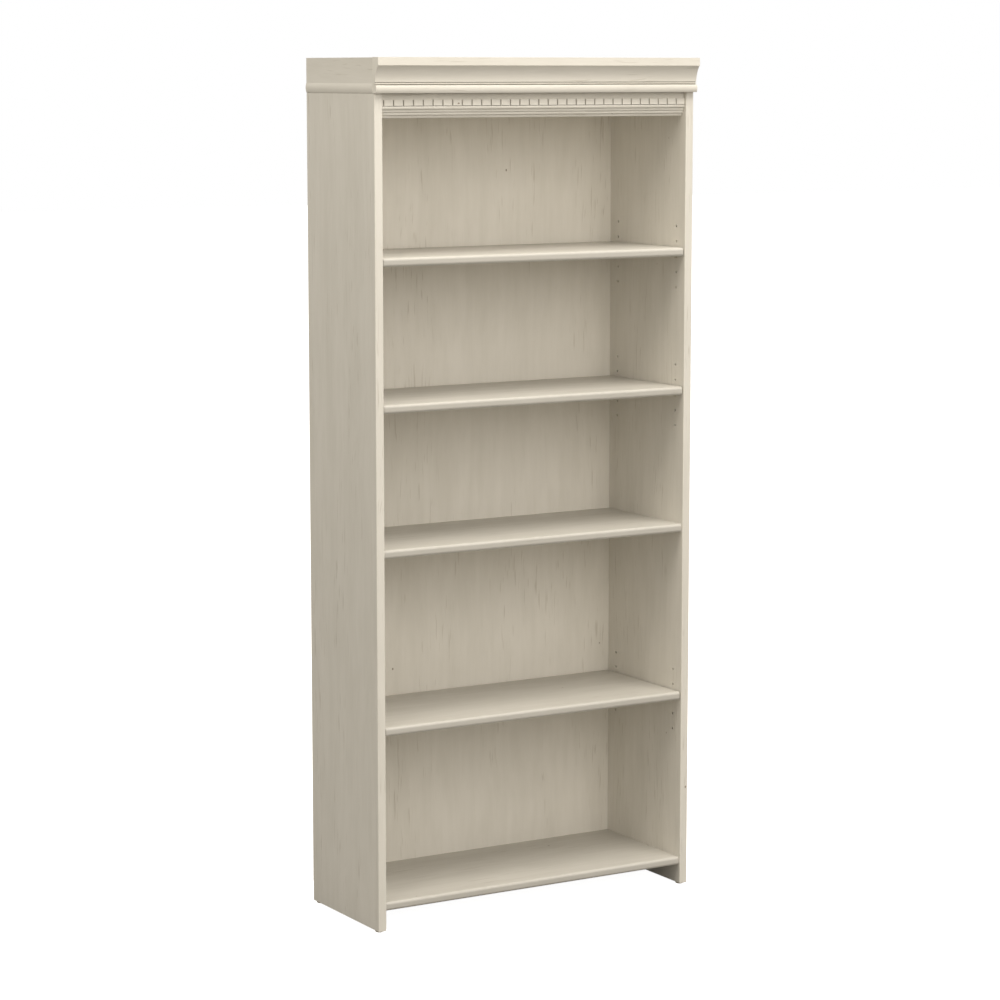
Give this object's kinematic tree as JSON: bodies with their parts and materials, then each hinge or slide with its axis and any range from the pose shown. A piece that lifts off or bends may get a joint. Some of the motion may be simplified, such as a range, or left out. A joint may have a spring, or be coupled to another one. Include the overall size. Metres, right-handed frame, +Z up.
{
  "type": "bookcase",
  "caption": "Tall open bookcase with fixed and adjustable shelves on pins, moulded crown and dentil valance, antique white whitewashed laminate.",
  "frame": {"origin": "on the floor, in the middle of the overall width and of the depth over crown and back panel", "axes": "+X to the viewer's right when facing the shelves, +Y to the back, +Z up"},
  "size_m": [0.7554, 0.308, 1.7505],
  "materials": {
    "whitewashed_laminate": "antique white laminate with fine whitewashed wood grain, satin",
    "whitewashed_back": "printed hardboard with the same grain, satin",
    "beech_dowel": "plain beech",
    "zinc_steel": "bright zinc plate",
    "cam_zinc": "die-cast zinc",
    "nickel_pin": "satin nickel plate",
    "glide_nylon": "moulded nylon",
    "nail_steel": "dull steel"
  },
  "bodies": {
    "carcass": {"back_panel": "whitewashed_back", "back_panel_nails": "nail_steel", "bottom_cam_bolts": "zinc_steel", "bottom_cam_locks": "cam_zinc", "bottom_dowels": "beech_dowel", "bottom_shelf": "whitewashed_laminate", "cap_nails": "nail_steel", "crown_cap": "whitewashed_laminate", "crown_front_rail": "whitewashed_laminate", "crown_left_return": "whitewashed_laminate", "crown_moulding": "whitewashed_laminate", "crown_rear_rail": "whitewashed_laminate", "crown_right_return": "whitewashed_laminate", "crown_screws": "zinc_steel", "dentil_valance": "whitewashed_laminate", "floor_glides": "glide_nylon", "left_side_panel": "whitewashed_laminate", "middle_cam_bolts": "zinc_steel", "middle_cam_locks": "cam_zinc", "middle_dowels": "beech_dowel", "middle_shelf": "whitewashed_laminate", "moulding_screws": "zinc_steel", "rail_dowels": "beech_dowel", "return_dowels": "beech_dowel", "right_side_panel": "whitewashed_laminate", "top_cam_bolts": "zinc_steel", "top_cam_locks": "cam_zinc", "top_dowels": "beech_dowel", "top_panel": "whitewashed_laminate", "valance_dowels": "beech_dowel"},
    "upper_shelf": {"upper_adjustable_shelf": "whitewashed_laminate"},
    "second_shelf": {"second_adjustable_shelf": "whitewashed_laminate"},
    "lower_shelf": {"lower_adjustable_shelf": "whitewashed_laminate"},
    "upper_left_front_pin": {"upper_left_front_pin": "nickel_pin"},
    "upper_left_rear_pin": {"upper_left_rear_pin": "nickel_pin"},
    "upper_right_front_pin": {"upper_right_front_pin": "nickel_pin"},
    "upper_right_rear_pin": {"upper_right_rear_pin": "nickel_pin"},
    "second_left_front_pin": {"second_left_front_pin": "nickel_pin"},
    "second_left_rear_pin": {"second_left_rear_pin": "nickel_pin"},
    "second_right_front_pin": {"second_right_front_pin": "nickel_pin"},
    "second_right_rear_pin": {"second_right_rear_pin": "nickel_pin"},
    "lower_left_front_pin": {"lower_left_front_pin": "nickel_pin"},
    "lower_left_rear_pin": {"lower_left_rear_pin": "nickel_pin"},
    "lower_right_front_pin": {"lower_right_front_pin": "nickel_pin"},
    "lower_right_rear_pin": {"lower_right_rear_pin": "nickel_pin"}
  },
  "joints": [
    {"name": "upper_shelf_lift", "type": "slide", "parent": "carcass", "child": "upper_shelf", "axis": [0, 0, 1], "range_m": [0, 0.064]},
    {"name": "second_shelf_lift", "type": "slide", "parent": "carcass", "child": "second_shelf", "axis": [0, 0, 1], "range_m": [0, 0.064]},
    {"name": "lower_shelf_lift", "type": "slide", "parent": "carcass", "child": "lower_shelf", "axis": [0, 0, 1], "range_m": [0, 0.064]},
    {"name": "upper_left_front_pin_pull", "type": "slide", "parent": "carcass", "child": "upper_left_front_pin", "axis": [1, 0, 0], "range_m": [0, 0.01]},
    {"name": "upper_left_rear_pin_pull", "type": "slide", "parent": "carcass", "child": "upper_left_rear_pin", "axis": [1, 0, 0], "range_m": [0, 0.01]},
    {"name": "upper_right_front_pin_pull", "type": "slide", "parent": "carcass", "child": "upper_right_front_pin", "axis": [-1, 0, 0], "range_m": [0, 0.01]},
    {"name": "upper_right_rear_pin_pull", "type": "slide", "parent": "carcass", "child": "upper_right_rear_pin", "axis": [-1, 0, 0], "range_m": [0, 0.01]},
    {"name": "second_left_front_pin_pull", "type": "slide", "parent": "carcass", "child": "second_left_front_pin", "axis": [1, 0, 0], "range_m": [0, 0.01]},
    {"name": "second_left_rear_pin_pull", "type": "slide", "parent": "carcass", "child": "second_left_rear_pin", "axis": [1, 0, 0], "range_m": [0, 0.01]},
    {"name": "second_right_front_pin_pull", "type": "slide", "parent": "carcass", "child": "second_right_front_pin", "axis": [-1, 0, 0], "range_m": [0, 0.01]},
    {"name": "second_right_rear_pin_pull", "type": "slide", "parent": "carcass", "child": "second_right_rear_pin", "axis": [-1, 0, 0], "range_m": [0, 0.01]},
    {"name": "lower_left_front_pin_pull", "type": "slide", "parent": "carcass", "child": "lower_left_front_pin", "axis": [1, 0, 0], "range_m": [0, 0.01]},
    {"name": "lower_left_rear_pin_pull", "type": "slide", "parent": "carcass", "child": "lower_left_rear_pin", "axis": [1, 0, 0], "range_m": [0, 0.01]},
    {"name": "lower_right_front_pin_pull", "type": "slide", "parent": "carcass", "child": "lower_right_front_pin", "axis": [-1, 0, 0], "range_m": [0, 0.01]},
    {"name": "lower_right_rear_pin_pull", "type": "slide", "parent": "carcass", "child": "lower_right_rear_pin", "axis": [-1, 0, 0], "range_m": [0, 0.01]}
  ]
}
